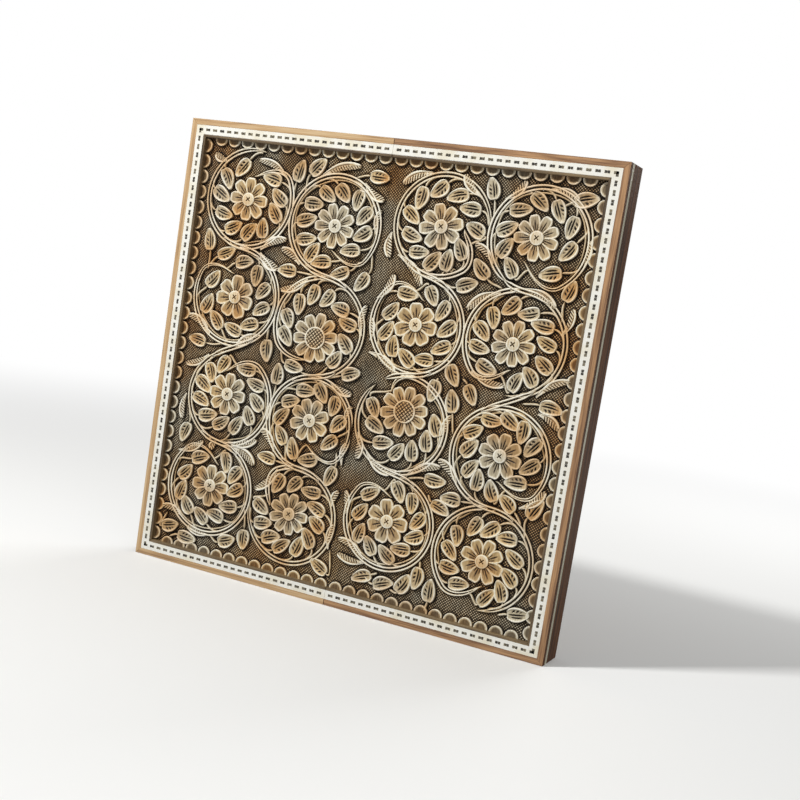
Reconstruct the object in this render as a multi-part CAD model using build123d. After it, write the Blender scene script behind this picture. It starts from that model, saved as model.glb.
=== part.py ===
"""Inlaid backgammon board with carved outer faces, standing open on its bottom edge.

Millimetres. X runs to the right, Y from the carved faces back to the rims, Z up. The origin
is on the floor, in the middle of the board. The halves meet at a seam at X = 0 and fold
backwards about two brass hinges let into the rims, until rim lies on rim.
"""
from build123d import *
import os
from math import cos, sin, radians

# The two halves
HEIGHT = 500.0            # both halves, from the bottom edge to the top edge
HALF_WIDTH = 250.0        # one half, from its free edge to the middle of the seam
THICK = 45.0              # one half, from the carved front to the rim
SEAM = 0.4                # gap between the halves, at the seam and between the folded rims

# Frame rails, seen from the front: plain wood, then the inlaid strip, then a thin lip
BAND = 6.7                # plain wood outside the strip
STRIP_W = 9.8             # ivory-coloured strip
STRIP_T = 2.0             # depth of its rebate
LIP_W = 3.0               # dark fillet between strip and carving
HINGE_RAIL_W = 12.0       # rail along the seam, behind the carving
TONGUE = 4.0              # how far the boards enter the rails' groove

# Dark tiles let into the strip
TILE_L = 5.0
TILE_W = 2.3
TILE_T = 0.8
TILE_FIRST = 12.5         # first tile's middle from the corner, on both sides of it
TILE_LAST = 7.0           # last tile's middle from the seam
TILES_TOP = 26
TILES_SIDE = 53

# Pale stringing let into the outer edges
STRING_NEAR = 7.8         # its near edge behind the carved front
STRING_W = 6.0
STRING_T = 1.0

# Carved board
RELIEF_SINK = 3.0         # highest carving behind the frame's front
RELIEF = 4.0              # deepest cut below the highest carving
CARVED_T = 7.0            # wood left behind the ground of the carving
SCALLOP_PITCH = 16.9
SCALLOP_R = 8.0
SCALLOP_H = 2.5
MEDALLION_R = 49.5        # scroll stem round a flower, along its middle
STEM_W = 3.0
STEM_H = 2.3
FLOWER_R = 24.0           # middle of a flower to a petal's tip
FLOWER_H = 3.2
PETAL_W = 15.0
EYE_R = 7.5               # domed middle of a flower
BIG_EYE_R = 12.5          # cross-hatched middle of the two larger flowers
BIG_PETALS = 10           # a flower of this many petals has the larger middle
# The pattern is drawn for a half of this size, and is spread to the real one
DRAWN_WIDTH = 250.0
DRAWN_HEIGHT = 500.0
# Middles of the flowers, from a half's free edge and from its top, and their petals
LEFT_FLOWERS = [
    (83, 81, 8), (194, 97, 9), (83, 189, 7), (190, 218, 10),
    (91, 297, 8), (198, 307, 8), (85, 403, 8), (190, 413, 9),
]
RIGHT_FLOWERS = [
    (185, 83, 8), (82, 82, 9), (196, 186, 7), (88, 189, 9),
    (193, 277, 10), (82, 302, 8), (193, 395, 7), (82, 412, 8),
]
# Middles of the scrolls round them, from the same two edges
LEFT_SCROLLS = [
    (85, 80), (193, 97), (84, 188), (192, 206),
    (94, 301), (198, 311), (85, 405), (192, 414),
]
RIGHT_SCROLLS = [
    (184, 82), (79, 84), (195, 187), (87, 188),
    (195, 291), (82, 305), (192, 396), (83, 410),
]

# Playing field, on the rim side
FIELD_T = 5.0
INLAY_T = 1.2             # points, lines and star in the field
POINT_GAP = 3.0           # between the feet of neighbouring points
POINTS = 6                # along the top and along the bottom of each half
LINE_W = 3.0              # two lines across the field
TIP_FROM_MIDDLE = 38.5    # a point's tip from the middle of the board's height
LINE_GAP = 2.5            # between the points' tips and a line
STAR_GAP = 5.0            # between a line and the star
STAR_TIPS = 8
STAR_WAIST = 0.62         # inner radius of the star as a share of its outer radius
REST_W = 14.0             # half-moon strips that hold the men
REST_T = 8.0
REST_NOTCH = 10.0         # depth of a half-moon
MAN_R = 17.5              # radius of the half-moons

# Hinges and closure
HINGE_L = 60.0
HINGE_FROM_END = 90.0     # middle of a hinge from the top or bottom edge
LEAF_T = 1.5
LEAF_W = 10.5
KNUCKLE_R = 2.75
PIN_R = 1.25
PIN_PLAY = 0.05           # between the pin and the right leaf's knuckle
KNUCKLE_GAP = 0.2         # along the pin, between knuckles
NOTCH_PLAY = 0.3          # between a knuckle and the wood or leaf beside it
SCREW_HEAD_R = 2.4
SCREW_R = 1.2
SCREW_L = 10.0
SCREW_FROM_AXIS = 6.5
SCREWS = 3
SLOT_W = 0.6
SLOT_T = 0.5
MAGNET_R = 5.0
MAGNET_T = 3.0
MAGNET_SUNK = 0.1

# Worked out from the sizes above
RAIL_W = BAND + STRIP_W
WINDOW = RAIL_W + LIP_W                     # edge of the visible carving
GROUND = RELIEF_SINK + RELIEF               # ground of the carving behind the front
FIELD_BACK = GROUND + CARVED_T              # joint between the carved board and the field
FLOOR = FIELD_BACK + FIELD_T                # playing surface behind the front
AXIS = THICK + SEAM / 2                     # hinge axis behind the front
FRONT = -(AXIS + KNUCKLE_R) / 2             # Y of the carved front
INNER = HALF_WIDTH - SEAM / 2               # free edge to this half's own seam face
TRAY_W = INNER - RAIL_W - HINGE_RAIL_W
POINT_L = HEIGHT / 2 - RAIL_W - TIP_FROM_MIDDLE
LINE_MIDDLE = TIP_FROM_MIDDLE - LINE_GAP - LINE_W / 2   # from the middle of the height
STAR_R = LINE_MIDDLE - LINE_W / 2 - STAR_GAP
HINGE_MIDDLES = (HINGE_FROM_END, HEIGHT - HINGE_FROM_END)


def block(u0, u1, d0, d1, z0, z1):
    """A block of the left half: u from its free edge, d behind the front, z from the floor."""
    size = (u1 - u0, d1 - d0, z1 - z0)
    place = Pos(-HALF_WIDTH + u0, FRONT + d0, z0)
    return place * Box(*size, align=(Align.MIN, Align.MIN, Align.MIN))


def upright(depth):
    """A plane parallel to the front, drawn on in X and Z, that extrudes towards the front."""
    return Plane(origin=(0, FRONT + depth, 0), x_dir=(1, 0, 0), z_dir=(0, -1, 0))


def prism(points, depth, height):
    """Straight-sided piece with an outline in X and Z, rising towards the front."""
    return extrude(upright(depth) * make_face(Polyline(*points, close=True)), amount=height)


def corner(above):
    """Wedge at the free top corner, above or below the line of the mitre."""
    reach = WINDOW + TILE_L
    left, top = -HALF_WIDTH, HEIGHT
    third = (left + reach, top) if above else (left, top - reach)
    wedge = [(left, top), third, (left + reach, top - reach)]
    return prism(wedge, THICK, THICK)


def other_end(piece):
    """The same piece at the other end of the board's height."""
    return mirror(piece, about=Plane.XY.offset(HEIGHT / 2))


def top_run(section):
    """A section (inward from the edge, behind the front) along the top, mitred at the corner."""
    outline = Polyline(*[(FRONT + d, HEIGHT - u) for u, d in section], close=True)
    start = Plane.YZ.offset(-HALF_WIDTH)
    return extrude(start * make_face(outline), amount=INNER) - corner(False)


def side_run(section):
    """The same section up the free side, mitred at both ends."""
    outline = Polyline(*[(-HALF_WIDTH + u, FRONT + d) for u, d in section], close=True)
    run = extrude(make_face(outline), amount=HEIGHT)
    return run - corner(True) - other_end(corner(True))


def rail_section():
    """Outer rail: rebate for the strip, groove for the two boards, groove for the stringing."""
    bottom = RAIL_W - TONGUE
    far = STRING_NEAR + STRING_W
    return [
        (0, 0), (BAND, 0), (BAND, STRIP_T), (RAIL_W, STRIP_T), (RAIL_W, GROUND),
        (bottom, GROUND), (bottom, FLOOR), (RAIL_W, FLOOR), (RAIL_W, THICK), (0, THICK),
        (0, far), (STRING_T, far), (STRING_T, STRING_NEAR), (0, STRING_NEAR),
    ]


def bar_section(u0, u1, d0, d1):
    return [(u0, d0), (u1, d0), (u1, d1), (u0, d1)]


def leaf_mortise(middle):
    """Seat of a hinge leaf in the seam rail's rim, with room round the knuckles."""
    half = HINGE_L / 2
    seat = block(HALF_WIDTH - LEAF_W, HALF_WIDTH, THICK - LEAF_T, THICK,
                 middle - half, middle + half)
    room = Cylinder(KNUCKLE_R + NOTCH_PLAY, HINGE_L + 2 * NOTCH_PLAY)
    return seat + Pos(0, FRONT + AXIS, middle) * room


def screw_blank(middle, step):
    """Countersunk screw of a left leaf, without its slot, head level with the leaf."""
    spread = HINGE_L / (SCREWS + 1)
    z = middle + (step - (SCREWS - 1) / 2) * spread
    x = -SCREW_FROM_AXIS
    head = Cone(SCREW_R, SCREW_HEAD_R, LEAF_T, align=(Align.CENTER, Align.CENTER, Align.MAX))
    shank = Cylinder(SCREW_R, SCREW_L, align=(Align.CENTER, Align.CENTER, Align.MAX))
    return Pos(x, FRONT + THICK, z) * Rot(-90, 0, 0) * (head + shank)


def screw_blanks(middle):
    return [screw_blank(middle, step) for step in range(SCREWS)]


def hinge_rail():
    """Seam rail behind the carved board, butted between the top and bottom rails."""
    start = INNER - HINGE_RAIL_W
    rail = block(start, INNER, FIELD_BACK, THICK, RAIL_W, HEIGHT - RAIL_W)
    rail -= block(start, start + TONGUE, FIELD_BACK, FLOOR, 0, HEIGHT)
    for middle in HINGE_MIDDLES:
        rail -= leaf_mortise(middle)
        for screw in screw_blanks(middle):
            rail -= screw
    return rail


def magnet(middle, length=MAGNET_T):
    disc = Cylinder(MAGNET_R, length, align=(Align.CENTER, Align.CENTER, Align.MIN))
    place = Pos(-HALF_WIDTH + RAIL_W / 2, FRONT + THICK - MAGNET_T - MAGNET_SUNK, middle)
    return place * Rot(-90, 0, 0) * disc


def side_rail():
    rail = side_run(rail_section())
    for middle in HINGE_MIDDLES:
        rail -= magnet(middle, MAGNET_T + MAGNET_SUNK + SEAM)
    return rail


def tiles_top():
    """Tiles of the top strip; the first one is cut on the mitre."""
    middle = HEIGHT - BAND - STRIP_W / 2
    step = (HALF_WIDTH - TILE_FIRST - TILE_LAST) / (TILES_TOP - 1)
    tiles = []
    for k in range(TILES_TOP):
        u = TILE_FIRST + k * step
        tiles.append(block(u - TILE_L / 2, u + TILE_L / 2, 0, TILE_T,
                           middle - TILE_W / 2, middle + TILE_W / 2))
    tiles[0] -= corner(False)
    return tiles


def tiles_side():
    """Tiles of the side strip; the first and the last are cut on the mitres."""
    middle = BAND + STRIP_W / 2
    step = (HEIGHT - 2 * TILE_FIRST) / (TILES_SIDE - 1)
    tiles = []
    for k in range(TILES_SIDE):
        z = TILE_FIRST + k * step
        tiles.append(block(middle - TILE_W / 2, middle + TILE_W / 2, 0, TILE_T,
                           z - TILE_L / 2, z + TILE_L / 2))
    tiles[-1] -= corner(True)
    tiles[0] -= other_end(corner(True))
    return tiles


def petal_outline(count):
    """Petal of a flower with this many petals, its root at the flower's middle."""
    width = min(PETAL_W, 1.9 * FLOWER_R * sin(radians(180 / count)))
    return Pos(0.58 * FLOWER_R, 0) * Ellipse(0.42 * FLOWER_R, width / 2)


def flower(x, z, count):
    petals = [Rot(0, 0, 90 + 360 * k / count) * petal_outline(count) for k in range(count)]
    eye = Circle(BIG_EYE_R if count == BIG_PETALS else EYE_R)
    outline = eye + petals
    return extrude(upright(GROUND) * (Pos(x, z) * outline), amount=FLOWER_H)


def scroll(x, z):
    """Ring-shaped stem round a flower."""
    ring = Circle(MEDALLION_R + STEM_W / 2) - Circle(MEDALLION_R - STEM_W / 2)
    return extrude(upright(GROUND) * (Pos(x, z) * ring), amount=STEM_H)


def scallops():
    """Row of half discs along the lip, at the top, the bottom and the free side of a half."""
    disc = Circle(SCALLOP_R)
    along_top = int((INNER - WINDOW) / SCALLOP_PITCH) + 1
    along_side = int((HEIGHT - 2 * WINDOW) / SCALLOP_PITCH)
    side_step = (HEIGHT - 2 * WINDOW) / along_side
    discs = []
    for k in range(along_side):
        discs.append(Pos(-HALF_WIDTH + WINDOW, WINDOW + (k + 0.5) * side_step) * disc)
    for k in range(1, along_top):
        x = -HALF_WIDTH + WINDOW + (k + 0.5) * SCALLOP_PITCH
        discs.append(Pos(x, HEIGHT - WINDOW) * disc)
        discs.append(Pos(x, WINDOW) * disc)
    row = extrude(upright(GROUND) * (Sketch() + discs), amount=SCALLOP_H)
    window = block(WINDOW, INNER, 0, GROUND, WINDOW, HEIGHT - WINDOW)
    return row & window


def drawn_at(side, u, v):
    """X and Z of a place in the pattern, from a half's free edge and from its top."""
    return side * HALF_WIDTH * (1 - u / DRAWN_WIDTH), HEIGHT * (1 - v / DRAWN_HEIGHT)


def carved_board(side, flowers, scrolls):
    """Board with the relief cut from the solid; side is -1 for the left half, 1 for the right."""
    start = RAIL_W - TONGUE
    board = block(start, INNER, GROUND, FIELD_BACK, start, HEIGHT - start)
    board += scallops()
    if side > 0:
        board = mirror(board, about=Plane.YZ)
    relief = [scroll(*drawn_at(side, u, v)) for u, v in scrolls]
    relief += [flower(*drawn_at(side, u, v), count) for u, v, count in flowers]
    return board + relief


def point_outline(step, at_top):
    """One of the long triangles of the playing field, its foot at the rail."""
    pitch = TRAY_W / POINTS
    left = -HALF_WIDTH + RAIL_W + step * pitch
    foot, tip = (HEIGHT - RAIL_W, HEIGHT - RAIL_W - POINT_L) if at_top else (RAIL_W, RAIL_W + POINT_L)
    half_gap = POINT_GAP / 2
    return [(left + half_gap, foot), (left + pitch - half_gap, foot), (left + pitch / 2, tip)]


def points(dark):
    """The half's points of one colour; colours alternate along a rail and face each other."""
    found = []
    for step in range(POINTS):
        for at_top in (True, False):
            if (step % 2 == 0) == (dark == at_top):
                found.append(prism(point_outline(step, at_top), FLOOR, INLAY_T))
    return found


def field_lines():
    """Two thin lines across the field, between the points' tips and the star."""
    lines = []
    for way in (-1, 1):
        middle = HEIGHT / 2 + way * LINE_MIDDLE
        lines.append(block(RAIL_W, RAIL_W + TRAY_W, FLOOR - INLAY_T, FLOOR,
                           middle - LINE_W / 2, middle + LINE_W / 2))
    return lines


def star():
    """Star in the middle of the field."""
    x = -HALF_WIDTH + RAIL_W + TRAY_W / 2
    corners = []
    for k in range(2 * STAR_TIPS):
        radius = STAR_R if k % 2 == 0 else STAR_R * STAR_WAIST
        turn = radians(k * 180 / STAR_TIPS)
        corners.append((x + radius * cos(turn), HEIGHT / 2 + radius * sin(turn)))
    return prism(corners, FLOOR, INLAY_T)


def field_board():
    start = RAIL_W - TONGUE
    end = INNER - HINGE_RAIL_W + TONGUE
    board = block(start, end, FIELD_BACK, FLOOR, start, HEIGHT - start)
    return board - (points(True) + points(False) + field_lines() + [star()])


def rest_strip():
    """Strip along the top rail with a half-moon for the first man of each point."""
    low = HEIGHT - RAIL_W - REST_W
    strip = block(RAIL_W, RAIL_W + TRAY_W, FLOOR, FLOOR + REST_T, low, HEIGHT - RAIL_W)
    pitch = TRAY_W / POINTS
    for step in range(POINTS):
        x = -HALF_WIDTH + RAIL_W + (step + 0.5) * pitch
        moon = Circle(MAN_R)
        z = low + REST_NOTCH - MAN_R
        strip -= extrude(upright(FLOOR + REST_T) * (Pos(x, z) * moon), amount=REST_T)
    return strip


def knuckle_span(index):
    """Lower and upper end of one of the three knuckles, from the hinge's middle."""
    each = HINGE_L / 3
    low = -HINGE_L / 2 + index * each
    return low + KNUCKLE_GAP / 2, low + each - KNUCKLE_GAP / 2


def barrel(radius, low, high):
    align = (Align.CENTER, Align.CENTER, Align.MIN)
    return Pos(0, FRONT + AXIS, low) * Cylinder(radius, high - low, align=align)


def leaf(middle, own, others, bore):
    """Leaf of the left half with its own knuckles, cut away round the other leaf's."""
    half = HINGE_L / 2
    plate = block(HALF_WIDTH - LEAF_W, INNER, THICK - LEAF_T, THICK,
                  middle - half, middle + half)
    for index in others:
        low, high = knuckle_span(index)
        plate -= barrel(KNUCKLE_R + NOTCH_PLAY, middle + low - KNUCKLE_GAP,
                        middle + high + KNUCKLE_GAP)
    for index in own:
        low, high = knuckle_span(index)
        plate += barrel(KNUCKLE_R, middle + low, middle + high)
    plate -= barrel(bore, middle - HINGE_L, middle + HINGE_L)
    for screw in screw_blanks(middle):
        plate -= screw
    return plate


def pin(middle):
    return barrel(PIN_R, middle - HINGE_L / 2, middle + HINGE_L / 2)


def slotted(middle):
    """A hinge's screws with their slots."""
    screws = []
    for screw in screw_blanks(middle):
        z = screw.bounding_box().center().Z
        slot = Pos(-SCREW_FROM_AXIS, FRONT + THICK, z) * Box(2 * SCREW_HEAD_R, 2 * SLOT_T, SLOT_W)
        screws.append(screw - slot)
    return screws


def both_sides(name, piece):
    """Writes a left piece and its mirror image in the right half."""
    write("left_" + name, piece)
    write("right_" + name, mirror(piece, about=Plane.YZ))


def write(name, shape):
    export_step(shape, "parts/" + name + ".step")


def group(solids):
    """Like pieces kept as separate solids in one node."""
    return Compound(children=[solid for piece in solids for solid in piece.solids()])


os.makedirs("parts", exist_ok=True)

rail_top = top_run(rail_section())
both_sides("top_rail", rail_top)
both_sides("bottom_rail", other_end(rail_top))
both_sides("side_rail", side_rail())
both_sides("hinge_rail", hinge_rail())

strip_section = bar_section(BAND, RAIL_W, 0, STRIP_T)
strip_top = top_run(strip_section) - tiles_top()
both_sides("top_strip", strip_top)
both_sides("bottom_strip", other_end(strip_top))
both_sides("side_strip", side_run(strip_section) - tiles_side())
tiles_bottom = [other_end(tile) for tile in tiles_top()]
both_sides("strip_tiles", group(tiles_top() + tiles_side() + tiles_bottom))

lip_section = bar_section(RAIL_W, WINDOW, 0, GROUND)
both_sides("top_lip", top_run(lip_section))
both_sides("bottom_lip", other_end(top_run(lip_section)))
both_sides("side_lip", side_run(lip_section))

string_section = bar_section(0, STRING_T, STRING_NEAR, STRING_NEAR + STRING_W)
both_sides("top_stringing", top_run(string_section))
both_sides("bottom_stringing", other_end(top_run(string_section)))
both_sides("side_stringing", side_run(string_section))

write("left_carved_board", carved_board(-1, LEFT_FLOWERS, LEFT_SCROLLS))
write("right_carved_board", carved_board(1, RIGHT_FLOWERS, RIGHT_SCROLLS))
both_sides("field_board", field_board())
both_sides("dark_points", group(points(True)))
both_sides("light_points", group(points(False)))
both_sides("field_lines", group(field_lines()))
both_sides("field_star", star())
both_sides("top_rest", rest_strip())
both_sides("bottom_rest", other_end(rest_strip()))

both_sides("magnets", group([magnet(middle) for middle in HINGE_MIDDLES]))
for place, middle in zip(("lower", "upper"), HINGE_MIDDLES):
    write(place + "_hinge_left_leaf", leaf(middle, (0, 2), (1,), PIN_R))
    right_leaf = leaf(middle, (1,), (0, 2), PIN_R + PIN_PLAY)
    write(place + "_hinge_right_leaf", mirror(right_leaf, about=Plane.YZ))
    write(place + "_hinge_pin", pin(middle))
hinge_screws = [screw for middle in HINGE_MIDDLES for screw in slotted(middle)]
both_sides("hinge_screws", group(hinge_screws))
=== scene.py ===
from collections import namedtuple

import bpy
import numpy as np
from mathutils import Matrix, Vector


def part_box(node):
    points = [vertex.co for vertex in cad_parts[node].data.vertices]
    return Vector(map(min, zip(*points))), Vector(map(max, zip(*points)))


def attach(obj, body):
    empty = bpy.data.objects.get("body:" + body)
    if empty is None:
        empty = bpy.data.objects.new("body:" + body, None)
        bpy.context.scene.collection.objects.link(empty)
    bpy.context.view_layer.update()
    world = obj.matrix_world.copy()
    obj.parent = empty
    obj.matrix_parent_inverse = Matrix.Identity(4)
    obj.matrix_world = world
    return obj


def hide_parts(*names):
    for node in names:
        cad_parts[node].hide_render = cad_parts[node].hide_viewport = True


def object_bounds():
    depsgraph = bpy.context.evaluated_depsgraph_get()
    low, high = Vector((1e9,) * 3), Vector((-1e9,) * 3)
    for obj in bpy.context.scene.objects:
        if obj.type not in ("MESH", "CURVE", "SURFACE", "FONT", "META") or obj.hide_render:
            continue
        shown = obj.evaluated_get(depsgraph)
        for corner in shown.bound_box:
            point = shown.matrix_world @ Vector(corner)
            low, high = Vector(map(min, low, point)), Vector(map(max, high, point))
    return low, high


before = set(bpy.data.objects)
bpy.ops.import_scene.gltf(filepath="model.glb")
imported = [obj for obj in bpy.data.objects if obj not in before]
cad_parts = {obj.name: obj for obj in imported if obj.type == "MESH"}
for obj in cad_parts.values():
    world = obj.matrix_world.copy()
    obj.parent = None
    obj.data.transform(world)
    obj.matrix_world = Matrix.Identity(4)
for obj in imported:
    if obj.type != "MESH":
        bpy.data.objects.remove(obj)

cad_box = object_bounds()


# Frame rails
# Four walnut rails a half, mitred at the free corners. Their fronts are faced with a lighter
# walnut band, and their outer sides and rims are left dark.
MM = 0.001
HALVES = {"left": -1, "right": 1}    # each half's side of the seam along X
# A wood's three colours run from its pores to its lightest streaks, at these places in its grain.
GRAIN_STOPS = (0.36, 0.48, 0.62)
RAIL_FACES = {"left": ("#A58463", "#CBA67A", "#DEC197"),
              "right": ("#755745", "#A37E5E", "#C99E74")}
RAIL_SIDE = ("#28180E", "#5A3920", "#744A2B")
RAIL_ARRIS = 0.35 * MM
SEAM_ARRIS = 0.25 * MM
GRAIN_WIDTH = 0.9 * MM
GRAIN_LENGTH = 30 * MM
FIGURE_WIDTH = 5 * MM


def linear(colour):
    """An sRGB hex value as linear red, green, blue and full alpha."""
    levels = [int(colour[i:i + 2], 16) / 255 for i in (1, 3, 5)]
    return [c / 12.92 if c <= 0.04045 else ((c + 0.055) / 1.055) ** 2.4 for c in levels] + [1.0]


def feed(tree, node, **sockets):
    """Sets or links a node's inputs, by name or identifier."""
    for key, value in sockets.items():
        names = (key, key.replace("_", " "))
        socket = next(s for s in node.inputs if s.identifier in names or s.name in names)
        if isinstance(value, bpy.types.NodeSocket):
            tree.links.new(value, socket)
        else:
            socket.default_value = value


def add(tree, kind, settings=None, **sockets):
    """Adds a node, sets its properties and feeds its inputs."""
    node = tree.nodes.new("ShaderNode" + kind)
    for key, value in (settings or {}).items():
        setattr(node, key, value)
    feed(tree, node, **sockets)
    return node


def new_material(name):
    """An empty node material with its tree and its surface shader."""
    material = bpy.data.materials.new(name)
    material.use_nodes = True
    tree = material.node_tree
    tree.nodes.clear()
    shader = add(tree, "BsdfPrincipled")
    add(tree, "OutputMaterial", Surface=shader.outputs["BSDF"])
    return material, tree, shader


def ramp(tree, factor, positions, colours):
    """A colour ramp through hex colours at their positions from 0 to 1."""
    node = add(tree, "ValToRGB", Fac=factor)
    while len(node.color_ramp.elements) < len(positions):
        node.color_ramp.elements.new(0.5)
    for element, position, colour in zip(node.color_ramp.elements, positions, colours):
        element.position = position
        element.color = linear(colour)
    return node.outputs["Color"]


def wood_grain(tree, along):
    """Wood's grain, a factor from 0 at the pores to 1, and its surface normal: fine streaks of
    pores and a broad figure, both drawn out along an axis, 0 for X and 2 for Z."""
    place = add(tree, "TexCoord").outputs["Object"]
    fine = [1 / GRAIN_WIDTH] * 3
    fine[along] = 1 / GRAIN_LENGTH
    broad = [1 / FIGURE_WIDTH] * 3
    broad[along] = 0.25 / GRAIN_LENGTH
    streaks = add(tree, "Mapping", Vector=place, Scale=fine)
    figure = add(tree, "Mapping", Vector=place, Scale=broad)
    pores = add(tree, "TexNoise", Vector=streaks.outputs[0], Scale=1.0, Detail=3.0)
    bands = add(tree, "TexNoise", Vector=figure.outputs[0], Scale=1.0, Detail=2.0)
    both = add(tree, "Mix", Factor_Float=0.55, A_Float=pores.outputs["Fac"],
               B_Float=bands.outputs["Fac"])
    bump = add(tree, "Bump", Strength=0.25, Distance=0.15 * MM, Height=pores.outputs["Fac"])
    return both.outputs[0], bump.outputs[0]


def sawn_wood(name, along, colours, roughness=0.42):
    """Planed and oiled wood: dark streaks of pores run along the piece, with a broad figure."""
    material, tree, shader = new_material(name)
    grain, normal = wood_grain(tree, along)
    feed(tree, shader, Base_Color=ramp(tree, grain, GRAIN_STOPS, colours), Roughness=roughness,
         Normal=normal)
    return material


def faced_walnut(name, along, face):
    """Rail of dark dull walnut whose carved-side face is a lighter band."""
    material, tree, shader = new_material(name)
    grain, normal = wood_grain(tree, along)
    facing = add(tree, "SeparateXYZ", Vector=add(tree, "TexCoord").outputs["Normal"])
    front = add(tree, "Math", {"operation": "LESS_THAN"}, Value=facing.outputs["Y"],
                Value_001=-0.5)
    mixed = add(tree, "Mix", {"data_type": "RGBA"}, Factor_Float=front.outputs[0],
                A_Color=ramp(tree, grain, GRAIN_STOPS, RAIL_SIDE),
                B_Color=ramp(tree, grain, GRAIN_STOPS, face))
    feed(tree, shader, Base_Color=mixed.outputs[2], Roughness=0.5, Specular_IOR_Level=0.05,
         Normal=normal)
    return material


def dress(node, material, arris=0.0):
    """Gives a CAD node its material and, where asked, eased edges of that width."""
    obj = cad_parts[node]
    obj.data.materials.clear()
    obj.data.materials.append(material)
    if arris:
        weld = obj.modifiers.new("weld", "WELD")
        weld.merge_threshold = 0.01 * MM
        bevel = obj.modifiers.new("arris", "BEVEL")
        bevel.width = arris
        bevel.segments = 2
        bevel.limit_method = "ANGLE"
        bevel.angle_limit = 0.6


for half in HALVES:
    rail_across = faced_walnut("walnut_" + half + "_rail_grain_across", 0, RAIL_FACES[half])
    rail_upright = faced_walnut("walnut_" + half + "_rail_grain_upright", 2, RAIL_FACES[half])
    dress(half + "_top_rail", rail_across, RAIL_ARRIS)
    dress(half + "_bottom_rail", rail_across, RAIL_ARRIS)
    dress(half + "_side_rail", rail_upright, RAIL_ARRIS)
    dress(half + "_hinge_rail", rail_upright, SEAM_ARRIS)


# Border strip
# A pale strip let into the frame's front, mitred at the corners, sanded and polished level with
# the walnut. It is the colour of bleached bone, with faint warm clouds and a soft gloss.
IVORY = ("#F6EED6", "#FFFDF3")


def clouded(name, cloud, detail, positions, colours, roughness):
    """Sanded and polished surface whose colour drifts in faint clouds of a size in metres."""
    material, tree, shader = new_material(name)
    place = add(tree, "TexCoord").outputs["Object"]
    clouds = add(tree, "TexNoise", Vector=place, Scale=1 / cloud, Detail=detail)
    colour = ramp(tree, clouds.outputs["Fac"], positions, colours)
    feed(tree, shader, Base_Color=colour, Roughness=roughness)
    return material


def dress_runs(kind, across, upright, arris=0.0):
    """Dresses the top, bottom and side runs of a line of the border, in both halves."""
    for half in HALVES:
        dress(half + "_top_" + kind, across, arris)
        dress(half + "_bottom_" + kind, across, arris)
        dress(half + "_side_" + kind, upright, arris)


ivory = clouded("bone_coloured_strip_polished", 24 * MM, 3.0, (0.35, 0.55), IVORY, 0.3)
dress_runs("strip", ivory, ivory)


# Tiles in the strip
# Each is a pair of small squares of stained veneer, glued into the strip and sanded level.
# Their shade changes from one pair to the next, from nearly black to grey-brown.
HEIGHT = cad_box[1][2] - cad_box[0][2]
TILE_SHADES = ("#37322A", "#8A8068")
TILE_PROUD = 0.04 * MM
TILE_GROW = 0.25 * MM    # feathered glue line round a tile
PAIR_GAP = 0.8 * MM


def islands(obj):
    """Lowest and highest corner of each separate solid of a CAD node, as two arrays."""
    mesh = obj.data
    count = len(mesh.vertices)
    place = np.empty(count * 3, np.float32)
    mesh.vertices.foreach_get("co", place)
    place = place.reshape(-1, 3).astype(float)
    corners = np.empty(len(mesh.loops), np.int64)
    mesh.loops.foreach_get("vertex_index", corners)
    corners = corners.reshape(-1, 3)
    same = np.unique(np.round(place, 6), axis=0, return_inverse=True)[1].ravel()
    label = np.arange(same.max() + 1)
    faces = same[corners]
    while True:
        low = label[faces].min(axis=1)
        before = label.copy()
        for k in range(3):
            np.minimum.at(label, faces[:, k], low)
        if (label == before).all():
            break
    solids, group = np.unique(label[same], return_inverse=True)
    low = np.full((len(solids), 3), np.inf)
    high = np.full((len(solids), 3), -np.inf)
    np.minimum.at(low, group.ravel(), place)
    np.maximum.at(high, group.ravel(), place)
    return low, high


def tile_pairs(side, low, high):
    """Lowest and highest corners of the squares, from those of the CAD tiles: a long tile is
    halved with a gap between, and the L at a corner is parted into its two legs."""
    low = low - (TILE_GROW, TILE_PROUD, TILE_GROW)
    high = high + (TILE_GROW, 0, TILE_GROW)
    size = high - low
    leg = size.min(axis=0)
    middle = (low + high) / 2
    first_low, first_high = low.copy(), high.copy()
    second_low, second_high = low.copy(), high.copy()
    for axis, other in ((0, 2), (2, 0)):
        long = size[:, axis] > size[:, other] + MM
        first_high[long, axis] = (middle - PAIR_GAP / 2)[long, axis]
        second_low[long, axis] = (middle + PAIR_GAP / 2)[long, axis]
    corner = np.abs(size[:, 0] - size[:, 2]) < MM
    if side < 0:
        first_high[corner, 0] = low[corner, 0] + leg[0]
    else:
        first_low[corner, 0] = high[corner, 0] - leg[0]
    upper = corner & (high[:, 2] > HEIGHT / 2)
    lower = corner & ~upper
    second_low[upper, 2] = high[upper, 2] - leg[2]
    second_high[lower, 2] = low[lower, 2] + leg[2]
    return np.concatenate([first_low, second_low]), np.concatenate([first_high, second_high])


# The corners of a block are numbered by their low or high X, Y and Z, as binary digits.
BOX_FACES = np.array([[0, 1, 3, 2], [4, 6, 7, 5], [0, 4, 5, 1], [2, 3, 7, 6], [0, 2, 6, 4],
                      [1, 5, 7, 3]])


def boxes(low, high):
    """Corners and faces of many upright blocks, each from its two opposite corners."""
    pick = np.array([[i >> 2 & 1, i >> 1 & 1, i & 1] for i in range(8)])
    verts = np.where(pick[None], high[:, None], low[:, None]).reshape(-1, 3)
    faces = (BOX_FACES[None] + 8 * np.arange(len(low))[:, None, None]).reshape(-1, 4)
    return verts, faces


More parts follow.
